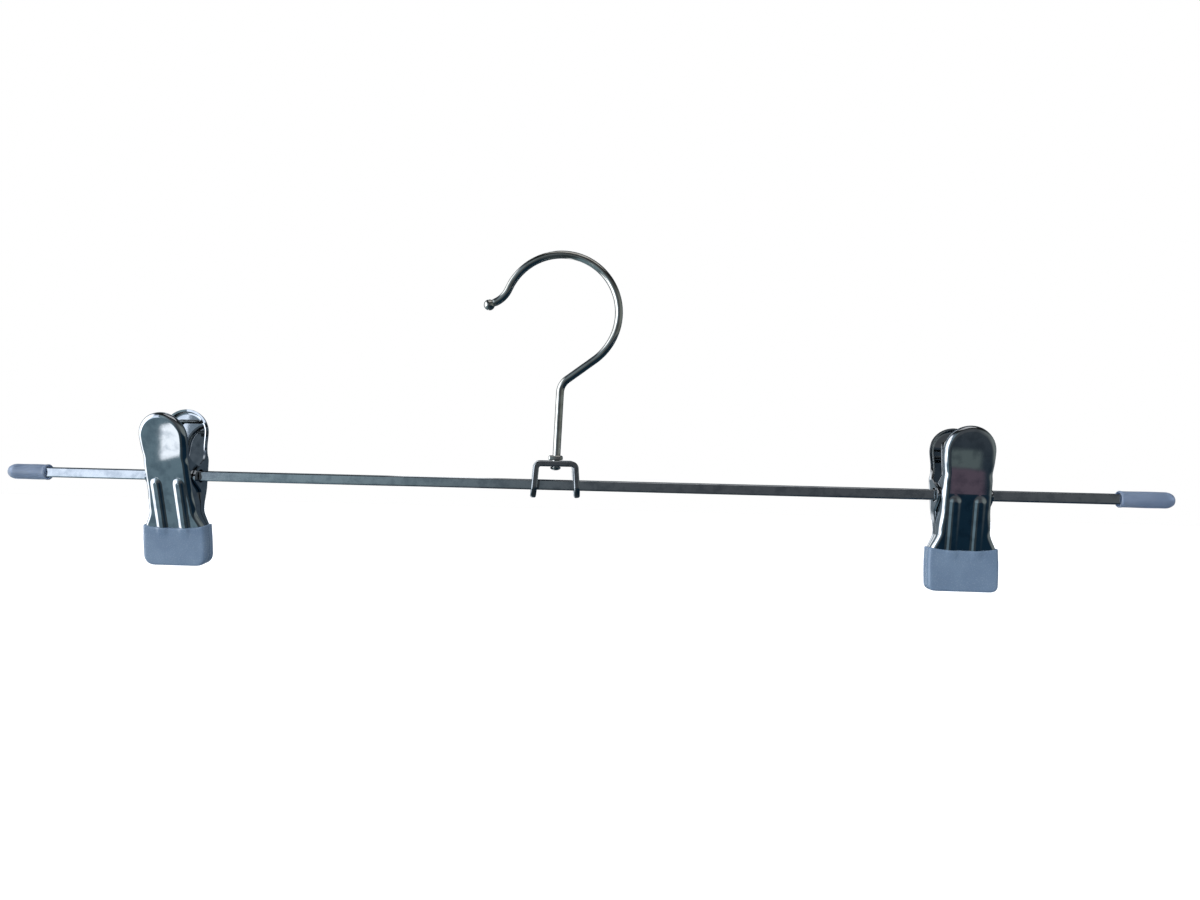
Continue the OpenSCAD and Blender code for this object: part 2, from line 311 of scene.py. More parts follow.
# Boot: opaque dipped vinyl, satin and a little cloudy
BOOT_VINYL = SoftVinyl("dipped_soft_vinyl")
# Cap: the same vinyl moulded thin, so that the bar's end shows through as a darker band
CAP_VINYL = SoftVinyl(
    "moulded_translucent_vinyl",
    colour="#8496B0",
    cloud="#93A4BC",
    roughness=0.3,
    clarity=0.45,
    depth_mm=1.5,
    skin_mm=2.2,
)


# ---------------------------------------------------------------------------
# Mesh helpers
# ---------------------------------------------------------------------------


def smooth(a: float, b: float, v: float) -> float:
    """A smooth step from 0 at a to 1 at b."""
    s = max(0.0, min(1.0, (v - a) / (b - a)))
    return s * s * (3 - 2 * s)


def fade(amount: float, zone: float, s: float) -> float:
    """An amount that falls smoothly to nothing as s goes from 0 to zone."""
    return amount * (1 - smooth(0, zone, s))


def inset(corner: float, up: float) -> float:
    """How far a round corner draws in at a height up from its foot."""
    left = corner - min(up, corner)
    return corner - math.sqrt(corner**2 - left**2)


def make_object(
    name: str, rows: Sequence[Sequence[Point]], faces: list[Face], at: Matrix | None, closed: bool
) -> bpy.types.Object:
    """Turns rows of points and the faces between them into an object in the CAD's frame.

    Args:
        name: the piece's name.
        rows: rows of points in millimetres.
        faces: faces that count the points through all the rows.
        at: where the points' own frame stands, in metres.
        closed: whether face directions are made to point outward.

    Returns:
        The new object, with its vertices already in place.
    """
    mesh = bpy.data.meshes.new(name)
    stand = at or Matrix.Identity(4)
    mesh.from_pydata([stand @ (Vector(p) * MM) for row in rows for p in row], [], faces)
    work = bmesh.new()
    work.from_mesh(mesh)
    bmesh.ops.remove_doubles(work, verts=work.verts, dist=0.002 * MM)
    if closed:
        bmesh.ops.recalc_face_normals(work, faces=work.faces)
    work.to_mesh(mesh)
    work.free()
    obj = bpy.data.objects.new(name, mesh)
    bpy.context.scene.collection.objects.link(obj)
    return obj


def loft(name: str, rings: Sequence[Sequence[Point]], at: Matrix | None = None) -> bpy.types.Object:
    """Makes a closed solid through rings of equal length, with flat ends."""
    count, last = len(rings[0]), len(rings) - 1
    faces: list[Face] = []
    for i in range(last):
        for k in range(count):
            a, b = i * count + k, i * count + (k + 1) % count
            faces.append((a, b, b + count, a + count))
    faces.append(tuple(range(count - 1, -1, -1)))
    faces.append(tuple(range(last * count, (last + 1) * count)))
    return make_object(name, rings, faces, at, closed=True)


def sheet(name: str, rows: Sequence[Sequence[Point]], at: Matrix) -> bpy.types.Object:
    """Makes an open sheet through rows of equal length."""
    count = len(rows[0])
    corners = [i * count + k for i in range(len(rows) - 1) for k in range(count - 1)]
    faces = [(a, a + 1, a + 1 + count, a + count) for a in corners]
    return make_object(name, rows, faces, at, closed=False)


def bake(obj: bpy.types.Object) -> None:
    """Applies the object's modifiers to its mesh."""
    graph = bpy.context.evaluated_depsgraph_get()
    made = bpy.data.meshes.new_from_object(obj.evaluated_get(graph))
    old = obj.data
    obj.modifiers.clear()
    obj.data = made
    made.name = obj.name
    bpy.data.meshes.remove(old)


def cut(obj: bpy.types.Object, tools: Iterable[bpy.types.Object]) -> None:
    """Takes the tools' volumes out of an object and removes the tools."""
    for tool in tools:
        modifier = obj.modifiers.new("cut", "BOOLEAN")
        modifier.operation = "DIFFERENCE"
        modifier.solver = "EXACT"
        modifier.object = tool
        bake(obj)
        bpy.data.objects.remove(tool)


def soften_edges(
    obj: bpy.types.Object, width_mm: float, steps: int = 2, over_deg: float = 35.0
) -> None:
    """Rounds every edge sharper than over_deg by a small radius."""
    modifier = obj.modifiers.new("soften", "BEVEL")
    modifier.width = width_mm * MM
    modifier.segments = steps
    modifier.limit_method = "ANGLE"
    modifier.angle_limit = math.radians(over_deg)
    modifier.use_clamp_overlap = True
    bake(obj)


def shade(obj: bpy.types.Object, sharp_deg: float = 40.0) -> None:
    """Shades smooth, except across edges sharper than sharp_deg."""
    obj.data.polygons.foreach_set("use_smooth", [True] * len(obj.data.polygons))
    obj.data.set_sharp_from_angle(angle=math.radians(sharp_deg))


def tube_rings(
    path: np.ndarray, radii: np.ndarray, sides: int, normal: Sequence[float]
) -> list[list[Point]]:
    """Rings of a round tube along a path.

    Args:
        path: points in millimetres, one row each.
        radii: the tube's radius at each point.
        sides: points in a ring.
        normal: any direction that isn't along the path's start.

    Returns:
        One ring for each point of the path.
    """
    tangents = np.gradient(path, axis=0)
    tangents /= np.linalg.norm(tangents, axis=1)[:, None]
    n = np.array(normal, float)
    rings = []
    for p, t, r in zip(path, tangents, radii):
        n = n - (n @ t) * t
        n /= np.linalg.norm(n)
        b = np.cross(t, n)
        turn = 2 * math.pi * np.arange(sides) / sides
        rings.append([tuple(p + r * (math.cos(a) * n + math.sin(a) * b)) for a in turn])
    return rings


def arc_points(centre: Sequence[float], r: float, start: float, end: float, steps: int) -> list[Flat]:
    """Points on an arc in a plane, from one angle in degrees to another."""
    turn = [math.radians(start + (end - start) * i / steps) for i in range(steps + 1)]
    return [(centre[0] + r * math.cos(a), centre[1] + r * math.sin(a)) for a in turn]


def circle(r: float, sides: int) -> list[Flat]:
    """A circle about the origin, as a ring of points."""
    return [(r * math.cos(a), r * math.sin(a)) for a in (2 * math.pi * k / sides for k in range(sides))]


def rounded_ring(half_x: float, half_y: float, corner: float, steps: int = 5) -> list[Flat]:
    """A rounded rectangle about the origin, as a ring of points."""
    corner = min(corner, half_x * 0.98, half_y * 0.98)
    ring: list[Flat] = []
    for sx, sy, start in ((1, 1, 0), (-1, 1, 90), (-1, -1, 180), (1, -1, 270)):
        centre = (sx * (half_x - corner), sy * (half_y - corner))
        ring += arc_points(centre, corner, start, start + 90, steps)
    return ring


def place(
    obj: bpy.types.Object, body: str, material: bpy.types.Material, slot: str, *nodes: str
) -> None:
    """Gives a piece its finish and body, and hides the CAD nodes that it stands for."""
    obj.data.materials.clear()
    obj.data.materials.append(material)
    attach(obj, body)
    if nodes:
        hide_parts(*nodes)
    log.info("piece %s on %s: %d faces", obj.name, body, len(obj.data.polygons))


def joint(name: str) -> dict:
    """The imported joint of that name."""
    return next(j for j in frame["joints"] if j["name"] == name)


def mount(name: str) -> dict:
    """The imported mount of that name."""
    return next(m for m in frame["record"]["mounts"] if m["name"] == name)


# ---------------------------------------------------------------------------
# Hook
# ---------------------------------------------------------------------------


@dataclass
class Hook:
    """One wire: a ball tip, an arm, a loop, a neck, an upright, a pressed shoulder and a riveted pin."""

    wire_d: float = field(init=False)
    loop_r: float = field(init=False)
    pin_x: float = field(init=False)
    shoulder_z: float = field(init=False)
    arm_angle: float = 156.5
    neck_angle: float = -53.5
    arm_r: float = 9.0
    arm_sweep: float = 42.0
    arm_straight: float = 2.3
    ball_d: float = 3.8
    ball_tip_r: float = 0.06
    throat_d: float = 2.45
    throat_from: float = 1.75
    throat_fade: float = 1.0
    neck_r: float = 6.0
    lean: float = 2.0
    shaft_offset: float = 0.3
    shoulder_w: float = 4.8
    shoulder_depth: float = 0.8
    shoulder_corner: float = 0.75
    shoulder_h: float = 1.6
    shoulder_levels: tuple[Flat, ...] = ((0.0, 0.86), (0.12, 0.98), (0.5, 1.0), (0.82, 0.97), (1.0, 0.82))
    rivet_d: float = 3.6
    rivet_h: float = 1.2
    rivet_rim: float = 0.4
    rivet_edge: float = 0.15
    strip_t: float = 1.9
    gap: float = 0.2

    def __post_init__(self) -> None:
        """Takes the sizes that the CAD fixes from the CAD."""
        low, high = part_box("hook")
        self.wire_d = high.z / MM
        self.loop_r = high.x / MM - self.wire_d
        self.pin_x = joint("hook_swivel")["pos_m"][0] / MM
        self.shoulder_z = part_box("bracket")[1].z / MM + self.gap

    def arm(self, centre: np.ndarray, r: float) -> list[Flat]:
        """The straight end under the ball and the reverse bend that leads into the loop.

        Args:
            centre: the loop's centre.
            r: the radius of the wire's axis round the loop.

        Returns:
            Points from the ball's outer end to the loop.
        """
        out = np.array([math.cos(math.radians(self.arm_angle)), math.sin(math.radians(self.arm_angle))])
        start = self.arm_angle + 180 - self.arm_sweep
        bend = arc_points(centre + (r + self.arm_r) * out, self.arm_r, start, self.arm_angle + 180, steps=20)
        a = math.radians(start)
        outward = np.array([math.sin(a), -math.cos(a)])
        straight = self.arm_straight + self.ball_d / 2
        steps = 30
        tip = [tuple(np.array(bend[0]) + outward * straight * (1 - i / steps)) for i in range(steps)]
        return tip + bend

    def neck(self, start: np.ndarray) -> list[Flat]:
        """The bend under the loop and the upright down into the shoulder, from the loop's end at start."""
        lean = math.radians(self.lean)
        up = np.array([math.sin(lean), math.cos(lean)])
        foot = np.array([self.pin_x + self.shaft_offset, self.shoulder_z + self.shoulder_h])
        a = math.radians(self.neck_angle)
        run = np.array([math.sin(a), -math.cos(a)])
        w = foot - start
        corner = start + run * (up[0] * w[1] - up[1] * w[0]) / (up[0] * run[1] - up[1] * run[0])
        turn = 90 - self.lean - (self.neck_angle + 90)
        end = corner - self.neck_r * math.tan(math.radians(turn / 2)) * up
        left = 180 - self.lean
        centre = end + self.neck_r * np.array([up[1], -up[0]])
        bend = arc_points(centre, self.neck_r, left - turn, left, steps=24)
        steps = 14
        down = foot - self.shoulder_h / 2 * up - end
        return bend + [tuple(end + down * i / steps) for i in range(1, steps + 1)]

    def route(self) -> np.ndarray:
        """The wire's axis in the XZ plane, from the ball's outer end down into the shoulder."""
        r = self.loop_r + self.wire_d / 2
        centre = np.array([0.0, -self.loop_r])
        loop = arc_points(centre, r, self.arm_angle, self.neck_angle, steps=150)
        points = self.arm(centre, r) + loop[1:] + self.neck(np.array(loop[-1]))
        return np.array([(x, 0.0, z) for x, z in points])

    def radius(self, s: float) -> float:
        """The wire's radius at a distance s from the ball's outer end."""
        wire, ball, throat = self.wire_d / 2, self.ball_d / 2, self.throat_d / 2
        past_ball = self.throat_from * ball
        if s < past_ball:
            return max(self.ball_tip_r, math.sqrt(max(0.0, ball**2 - (ball - s) ** 2)))
        return throat + (wire - throat) * smooth(past_ball, past_ball + self.throat_fade, s)

    def wire(self) -> bpy.types.Object:
        """The bent wire with its ball."""
        path = self.route()
        along = np.concatenate([[0], np.cumsum(np.linalg.norm(np.diff(path, axis=0), axis=1))])
        radii = np.array([self.radius(s) for s in along])
        obj = loft("hook_wire", tube_rings(path, radii, sides=32, normal=(0, 1, 0)))
        shade(obj, 50)
        return obj

    def shoulder(self) -> bpy.types.Object:
        """The pressed ears above the bracket, wider across the bar than front to back."""
        half, deep = self.shoulder_w / 2, self.shoulder_w / 2 * self.shoulder_depth
        rings = []
        for z, share in self.shoulder_levels:
            ring = rounded_ring(half * share, deep * share, self.shoulder_corner * share)
            rings.append([(self.pin_x + x, y, self.shoulder_z + z * self.shoulder_h) for x, y in ring])
        obj = loft("hook_shoulder", rings)
        soften_edges(obj, 0.15, 3)
        shade(obj, 35)
        return obj

    def pin(self) -> bpy.types.Object:
        """The pin through the bracket and its domed, peened end."""
        top = self.shoulder_z + self.shoulder_h / 2
        under = self.shoulder_z - self.strip_t - 2 * self.gap
        wire, rivet = self.wire_d / 2, self.rivet_d / 2
        seat, rim = rivet * 0.93, under - self.rivet_rim
        profile = [(AXIS_R, top), (wire, top), (wire, under), (seat, under), (rivet, under - self.rivet_edge)]
        for deg in range(10, 90, 10):
            a = math.radians(deg)
            profile.append((rivet * math.cos(a), rim - (self.rivet_h - self.rivet_rim) * math.sin(a)))
        profile.append((AXIS_R, under - self.rivet_h))
        rings = [[(self.pin_x + x, y, z) for x, y in circle(r, sides=48)] for r, z in profile]
        obj = loft("hook_pin", rings)
        shade(obj, 35)
        return obj

    def build(self) -> None:
        """Makes the three meshes and hangs them on the hook's body."""
        metal = HOOK_WIRE.material()
        place(self.wire(), "hook", metal, "hook_wire", "hook")
        place(self.shoulder(), "hook", metal, "hook_wire")
        place(self.pin(), "hook", metal, "hook_wire")


# ---------------------------------------------------------------------------
# Bracket, bar and caps
# ---------------------------------------------------------------------------


@dataclass
class Cap:
    """A moulded cap with a blunt nose, a rolled mouth and a bore that the bar fills.

    Its mouth looks along +X where direction is 1 and along -X where it is -1.
    """

    node: str
    direction: int
    bore: float
    bar_end: float
    r: float = 2.7
    nose: float = 3.0
    blunt: float = 0.34
    ripple: float = 0.012
    lip: float = 0.03
    lip_l: float = 1.1

    def profile(self, length: float, floor: float) -> list[Flat]:
        """The cap's outline as (radius, distance from the tip), from the tip over the mouth into the bore.

        Args:
            length: the cap's length.
            floor: how far the bore's floor is from the tip.

        Returns:
            The outline's points.
        """
        r, rolled = self.r, self.r * (1 + self.lip)
        outline = [(AXIS_R, 0.0)]
        for deg in range(8, 91, 6):
            a = math.radians(deg)
            share = self.blunt + (1 - self.blunt) * math.sin(a)
            outline.append((r * share, self.nose * (1 - math.cos(a))))
        steps = np.linspace(self.nose + 0.8, length - self.lip_l - 0.3, 8)
        outline += [(r * (1 - self.ripple * math.sin(4 * s)), s) for s in steps]
        outline += [(r, length - self.lip_l), (rolled, length - 0.75), (rolled, length - 0.3)]
        outline += [(r * 0.97, length - 0.08), (r * 0.88, length), (self.bore, length - 0.15)]
        return outline + [(self.bore, floor + 0.05), (AXIS_R, floor + 0.05)]

    def build(self, axis_z: float) -> bpy.types.Object:
        """Turns the profile round the bar's axis, which is at height axis_z."""
        low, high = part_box(self.node)
        tip_x = (low.x if self.direction > 0 else high.x) / MM
        profile = self.profile((high.x - low.x) / MM, abs(self.bar_end - tip_x))
        rings = []
        for r, s in profile:
            rings.append([(tip_x + self.direction * s, y, axis_z + z) for y, z in circle(r, sides=40)])
        obj = loft(self.node + "_vinyl", rings)
        shade(obj, 45)
        return obj


@dataclass
class Frame:
    """The bar with its two caps and the bent strip that hangs it from the hook."""

    side: float = field(init=False)
    x0: float = field(init=False)
    x1: float = field(init=False)
    axis_z: float = field(init=False)
    pin_x: float = field(init=False)
    corner: float = 0.5
    strip_t: float = 1.9
    strip_w: float = 8.0
    width: float = 15.4
    top: float = 8.3
    tip: float = 4.4
    bend: float = 2.5
    splay: float = 4.5
    turn: float = 10.0
    strip_edge: float = 0.42
    tip_thin: float = 0.3
    tip_zone: float = 3.0
    hole_gap: float = 0.12
    pin_hole_r: float = 1.46
    bar_chamfer: float = 0.25

    def __post_init__(self) -> None:
        """Takes the bar's place from the CAD."""
        low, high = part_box("bar")
        self.x0, self.x1 = low.x / MM, high.x / MM
        self.side = (high.z - low.z) / MM
        self.axis_z = (low.z + high.z) / 2 / MM
        self.pin_x = joint("hook_swivel")["pos_m"][0] / MM

    def prism(self, name: str, x0: float, x1: float, grow: float, chamfer: float) -> bpy.types.Object:
        """A rounded square prism along the bar.

        Args:
            name: the object's name.
            x0: where it starts.
            x1: where it ends.
            grow: how much each face stands outside the bar's own.
            chamfer: size of the small chamfer at each end.

        Returns:
            The object.
        """
        half = self.side / 2 + grow
        step = 4.0
        stations = [(x0, chamfer), (x0 + chamfer, 0.0)]
        stations += [(x, 0.0) for x in np.arange(x0 + step, x1 - 3, step)]
        stations += [(x1 - chamfer, 0.0), (x1, chamfer)]
        rings = []
        for x, inset in stations:
            ring = rounded_ring(half - inset, half - inset, self.corner + grow)
            rings.append([(x, y, self.axis_z + z) for y, z in ring])
        return loft(name, rings)

    def strip_route(self) -> tuple[np.ndarray, np.ndarray]:
        """The strip's mid line in its own XZ plane and the outward direction at each point."""
        mid = self.bend - self.strip_t / 2
        corner_x, corner_z = self.width / 2 - self.bend, self.top - self.bend
        down = math.radians(self.splay)
        leg = np.array([math.sin(down), -math.cos(down)])
        start = np.array([corner_x, corner_z]) + mid * np.array([math.cos(down), math.sin(down)])
        length = (start[1] + self.tip) / math.cos(down)
        # The cuts crowd together towards the round tip
        near_tip = length - self.tip_zone * (1 - np.linspace(0, 1, 16)[1:] ** 0.7)
        cuts = np.concatenate([np.linspace(0, length - self.tip_zone, 12), near_tip])
        side = [tuple(start + leg * s) for s in cuts]
        bend = arc_points((corner_x, corner_z), mid, 90, self.splay, steps=14)
        steps = 10
        half = [(corner_x * i / steps, self.top - self.strip_t / 2) for i in range(steps)] + bend + side[1:]
        left = [(-x, z) for x, z in reversed(half[1:])]
        path = np.array(left + half)
        tangent = np.gradient(path, axis=0)
        tangent /= np.linalg.norm(tangent, axis=1)[:, None]
        return path, np.stack([-tangent[:, 1], tangent[:, 0]], axis=1)

    def bracket(self) -> bpy.types.Object:
        """The bent strip with round tips, a hole for the pin and square holes for the bar."""
        path, out = self.strip_route()
        end = path[-1][1]
        radius = self.strip_w / 2
        spin = Matrix.Rotation(math.radians(self.turn), 4, "Z")
        rings = []
        for (x, z), (ox, oz) in zip(path, out):
            rise = max(0.0, min(radius, z - end))
            half_w = max(0.25, math.sqrt(max(0.0, radius**2 - (radius - rise) ** 2)))
            half_t = self.strip_t / 2 * (1 - self.tip_thin * (1 - smooth(0, 0.5, z - end)))
            ring = rounded_ring(half_w, half_t, self.strip_edge, steps=4)
            rings.append([(x + ox * t, w, z + oz * t) for w, t in ring])
        at = Matrix.Translation((self.pin_x * MM, 0, self.axis_z * MM)) @ spin
        obj = loft("bracket_strip", rings, at)
        hole, levels = circle(self.pin_hole_r, sides=48), (self.top - self.strip_t - 1, self.top + 1)
        x0, x1 = self.pin_x - self.width, self.pin_x + self.width
        tools = [
            self.prism("hole_for_bar", x0, x1, grow=self.hole_gap, chamfer=0.0),
            loft("hole_for_pin", [[(x, y, z) for x, y in hole] for z in levels], at),
        ]
        cut(obj, tools)
        shade(obj, 35)
        return obj

    def build(self) -> None:
        """Makes the bracket, bar and caps and hangs them on the frame's body."""
        place(self.bracket(), "frame", BRACKET_STRIP.material(), "bracket_strip", "bracket")
        bar = self.prism("bar_square", self.x0, self.x1, grow=0.0, chamfer=self.bar_chamfer)
        shade(bar, 35)
        place(bar, "frame", BAR_STEEL.material(), "bar", "bar")
        vinyl = CAP_VINYL.material()
        bore = self.side / 2 * 1.3
        for cap in (Cap("end_cap_left", 1, bore, self.x0), Cap("end_cap_right", -1, bore, self.x1)):
            place(cap.build(self.axis_z), "frame", vinyl, "cap_vinyl", cap.node)


# ---------------------------------------------------------------------------
# Clips
# ---------------------------------------------------------------------------


@dataclass
class Jaw:
    """One pressed jaw: finger pad, waist, pivot ears, ribbed leg and turned edges.

    Its own frame has the bar's axis as origin, Z up and +Y the way its face looks.
    """

    half: Half
    sheet: float = 0.75
    pad_r: float = 8.4
    pad_z: float = 14.4
    pad_slope: float = 9.9
    depth: float = 6.35
    knee_z: float = -18.0
    knee_depth: float = 2.9
    waist_half: float = 8.1
    waist_top: float = 7.5
    waist_zone: float = 3.0
    body_half: float = 8.5
    flare_half: float = 11.1
    flare_from: float = 12.0
    flare_to: float = 19.5
    nest: float = 0.5
    face_bend: float = 1.0
    bend_r: float = 1.8
    rib_x: float = 4.0
    rib_rise: float = 0.55
    rib_end: float = -2.4
    rib_core: float = 0.5
    rib_half: float = 2.2
    ear_reach: float = 4.4
    ear_span: float = 5.6
    ear_round: float = 0.75
    ear_flat: float = 4.5
    ear_end: float = 11.0
    edge_gap: float = 0.15
    edge_fan: float = 14.5
    fan_z: float = 2.0
    pad_edge_z: float = 9.5
    pad_wall: float = 2.1
    hole_r: float = 2.35
    foot_z: float = -21.0

    def half_width(self, z: float) -> float:
        """Half of the jaw's width at height z."""
        top = self.waist_top
        w = self.waist_half + (self.pad_r - self.waist_half) * smooth(top, self.pad_z, z)
        w += (self.body_half - self.waist_half) * smooth(-top, self.waist_zone - top, -z)
        w += (self.flare_half - self.body_half) * smooth(self.flare_from, self.flare_to, -z)
        # The back jaw's ears pass outside the front jaw's
        step = self.nest if self.half is Half.BACK else -self.nest
        return w + step * (1 - smooth(self.ear_flat, self.ear_end, abs(z)))

    def face(self, z: float) -> float:
        """Depth of the flat face at height z, with a soft bend at the bar."""
        pad = self.depth + z * math.tan(math.radians(self.pad_slope))
        leg = self.depth + z * (self.depth - self.knee_depth) / -self.knee_z
        return leg + (pad - leg) * smooth(-self.face_bend, self.face_bend, z)

    def free_edge(self, z: float) -> float:
        """Depth of the turned edge's free end at height z. Around the bar it reaches past the middle."""
        low = self.edge_gap + max(0.0, z) * math.tan(math.radians(self.edge_fan))
        pad = self.face(z) - self.pad_wall
        fan = low + (pad - low) * smooth(self.fan_z, self.pad_edge_z, z)
        ear = 0.0
        if abs(z) < self.ear_span:
            bow = 0.5 + 0.5 * math.cos(math.pi * z / self.ear_span)
            ear = self.ear_reach * bow**self.ear_round
        return fan - ear

    def rib(self, x: float, z: float) -> float:
        """How far a rib lifts the face at a point."""
        past_end = max(0.0, z - self.rib_end)
        off = math.hypot(abs(x) - self.rib_x, past_end)
        return self.rib_rise * (1 - smooth(self.rib_core, self.rib_half, off))

    def stations(self) -> list[tuple[float, float, float, float]]:
        """Places round the outline as (x, z) on the outline and the point they are drawn in towards."""
        coarse, fine, ears = 0.8, 0.4, 8
        heights = [np.arange(self.foot_z, -ears, coarse), np.arange(-ears, ears, fine)]
        lower = np.concatenate([*heights, np.arange(ears, self.pad_z, coarse)])
        left = [(-self.half_width(z), float(z), 0.0, float(z)) for z in lower]
        fan = []
        for deg in range(180, -1, -4):
            a = math.radians(deg)
            fan.append((self.pad_r * math.cos(a), self.pad_z + self.pad_r * math.sin(a), 0.0, self.pad_z))
        right = [(-x, z, 0.0, z) for x, z, _, _ in reversed(left)]
        return left + fan + right

    def profile(self, x: float, z: float, cx: float, cz: float) -> list[Point]:
        """One strip of the sheet from the middle of the face, over the bend, to the free edge."""
        reach = math.hypot(x - cx, z - cz)
        dx, dz = (x - cx) / reach, (z - cz) / reach
        flat_end = reach - self.bend_r
        flat_steps, bend_steps, wall_steps = 24, 7, 8
        strip: list[Point] = []
        for r in np.linspace(0, flat_end, flat_steps + 1):
            px, pz = cx + dx * r, cz + dz * r
            strip.append((px, self.face(pz) + self.rib(px, pz), pz))
        for k in range(1, bend_steps + 1):
            a = math.pi / 2 * k / bend_steps
            r = flat_end + self.bend_r * math.sin(a)
            pz = cz + dz * r
            strip.append((cx + dx * r, self.face(pz) - self.bend_r * (1 - math.cos(a)), pz))
        top, end = self.face(z) - self.bend_r, self.free_edge(z)
        for k in range(1, wall_steps + 1):
            strip.append((x, top + (end - top) * k / wall_steps, z))
        return strip

    def build(self, name: str, at: Matrix) -> bpy.types.Object:
        """Presses the sheet, gives it thickness, bores the ears and softens the cut edges.

        Args:
            name: the piece's name.
            at: where the jaw's own frame stands.

        Returns:
            The jaw.
        """
        obj = sheet(name, [self.profile(*s) for s in self.stations()], at)
        facing = at.to_3x3() @ Vector((0, 1, 0))
        pad = at @ (Vector((0, self.face(self.pad_z), self.pad_z)) * MM)
        middle = min(obj.data.polygons, key=lambda p: (p.center - pad).length)
        if middle.normal @ facing < 0:
            obj.data.flip_normals()
        thick = obj.modifiers.new("sheet", "SOLIDIFY")
        thick.thickness = self.sheet * MM
        thick.offset = -1.0
        thick.use_even_offset = True
        bake(obj)
        past = self.flare_half + 3
        bore = [[(x, y, z) for y, z in circle(self.hole_r, sides=64)] for x in (-past, past)]
        cut(obj, [loft("bore", bore, at)])
        soften_edges(obj, 0.16, 2, over_deg=50)
        shade(obj, 40)
        return obj


@dataclass
class Boot:
    """A dipped boot over a jaw's tongue, in the jaw's own frame.

    A pair of sizes is an amount and the height over which it fades out.
    """

    foot_corner: float
    half_w: float = 11.5
    top: float = -18.3
    bottom: float = -31.8
    inner: float = 0.1
    outer: float = 3.1
    inner_corner: float = 0.35
    outer_corner: float = 1.25
    foot_round: float = 0.9
    mouth_draw: Flat = (0.25, 4.5)
    foot_draw: Flat = (0.15, 6.0)
    collar: Flat = (0.18, 3.0)
    climb: Flat = (0.9, 5.0)
    lip: float = 0.3
    lip_l: float = 0.45
    rib_x: float = 4.0
    rib_swell: float = 0.45
    rib_core: float = 0.8
    rib_half: float = 2.3
    mouth_cuts: tuple[float, ...] = (
        *(0.0, 0.06, 0.14, 0.25, 0.4, 0.7, 1.1, 1.6),
        *(2.2, 2.9, 3.7, 4.6, 5.8, 7.2, 8.6, 10.0),
    )
    foot_cuts: tuple[float, ...] = (3.2, 2.5, 1.9, 1.4, 1.0, 0.7, 0.45, 0.25, 0.1, 0.02)

    def ring(self, z: float) -> list[Point]:
        """The boot's section at height z."""
        up, below = z - self.bottom, self.top - z
        belly = inset(self.foot_round, up)
        lip = self.lip * inset(1.0, below / self.lip_l)
        draw = fade(*self.mouth_draw, below) + fade(*self.foot_draw, up)
        w = self.half_w - draw - inset(self.foot_corner, up) - lip
        y1 = self.outer + fade(*self.collar, below) - belly * 0.8 - lip
        y0 = self.inner + belly * 0.2
        corner, inner = min(self.outer_corner, (y1 - y0) * 0.6), self.inner_corner
        swell = self.rib_swell * (1 - smooth(0.3, 3.8, below))
        points = arc_points((w - inner, y0 + inner), inner, -90, 0, steps=4)
        points += arc_points((w - corner, y1 - corner), corner, 0, 90, steps=8)
        for x in np.linspace(w - corner, -w + corner, 41)[1:-1]:
            bump = swell * (1 - smooth(self.rib_core, self.rib_half, abs(abs(x) - self.rib_x)))
            points.append((x, y1 + bump))
        points += arc_points((-w + corner, y1 - corner), corner, 90, 180, steps=8)
        points += arc_points((-w + inner, y0 + inner), inner, 180, 270, steps=4)
        points += [(x, y0) for x in np.linspace(-w + inner, w - inner, 9)[1:-1]]
        # The dip's edge climbs a little towards the corners of the tongue
        climb = fade(*self.climb, below)
        return [(x, y, z + climb * (abs(x) / w) ** 3) for x, y in points]

    def build(self, name: str, at: Matrix) -> bpy.types.Object:
        """Lofts the boot from its sections, which crowd together at the mouth and the foot."""
        heights = [self.top - s for s in self.mouth_cuts] + [self.bottom + s for s in self.foot_cuts]
        obj = loft(name, [self.ring(z) for z in heights], at)
        shade(obj, 50)
        return obj


